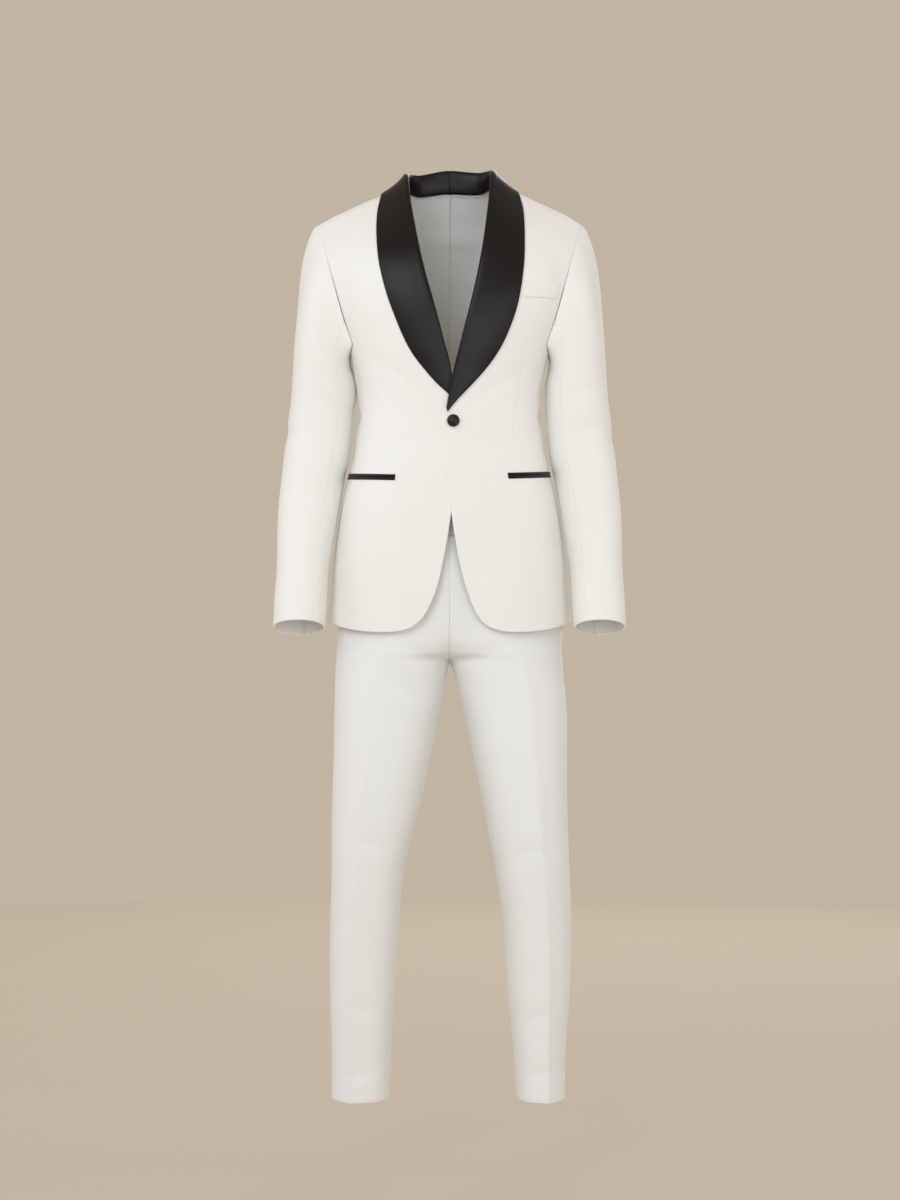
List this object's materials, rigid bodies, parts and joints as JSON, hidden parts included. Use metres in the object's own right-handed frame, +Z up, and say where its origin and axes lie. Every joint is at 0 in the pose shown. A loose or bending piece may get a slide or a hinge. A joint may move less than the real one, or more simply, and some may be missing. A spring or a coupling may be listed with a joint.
{
  "type": "one-button shawl-collar dinner suit, worn form",
  "caption": "Ivory dinner jacket with a black satin shawl collar and flat-front trousers, hollow and posed as worn, with no wearer.",
  "frame": {"origin": "base of the neck between the shoulders, where the wearer's neck and shoulders hold the jacket", "axes": "+Z up, the front faces -Y, the wearer's left is at +X"},
  "size_m": [0.5706, 0.264, 1.5284],
  "materials": {
    "jacket_wool": "fine ivory worsted, matt with a soft nap",
    "trouser_wool": "fine ivory worsted, slightly cooler, pressed creases",
    "black_satin": "black duchesse satin, soft broad sheen"
  },
  "bodies": {
    "root": {"front_left": "jacket_wool", "side_left": "jacket_wool", "back_left": "jacket_wool", "top_sleeve_left": "jacket_wool", "under_sleeve_left": "jacket_wool", "under_lapel_left": "jacket_wool", "shawl_left": "black_satin", "jet_upper_left": "black_satin", "jet_lower_left": "black_satin", "trouser_front_left": "trouser_wool", "trouser_back_left": "trouser_wool", "waistband_left": "trouser_wool", "front_right": "jacket_wool", "side_right": "jacket_wool", "back_right": "jacket_wool", "top_sleeve_right": "jacket_wool", "under_sleeve_right": "jacket_wool", "under_lapel_right": "jacket_wool", "shawl_right": "black_satin", "jet_upper_right": "black_satin", "jet_lower_right": "black_satin", "trouser_front_right": "trouser_wool", "trouser_back_right": "trouser_wool", "waistband_right": "trouser_wool", "breast_welt": "jacket_wool", "button": "black_satin"}
  },
  "joints": []
}
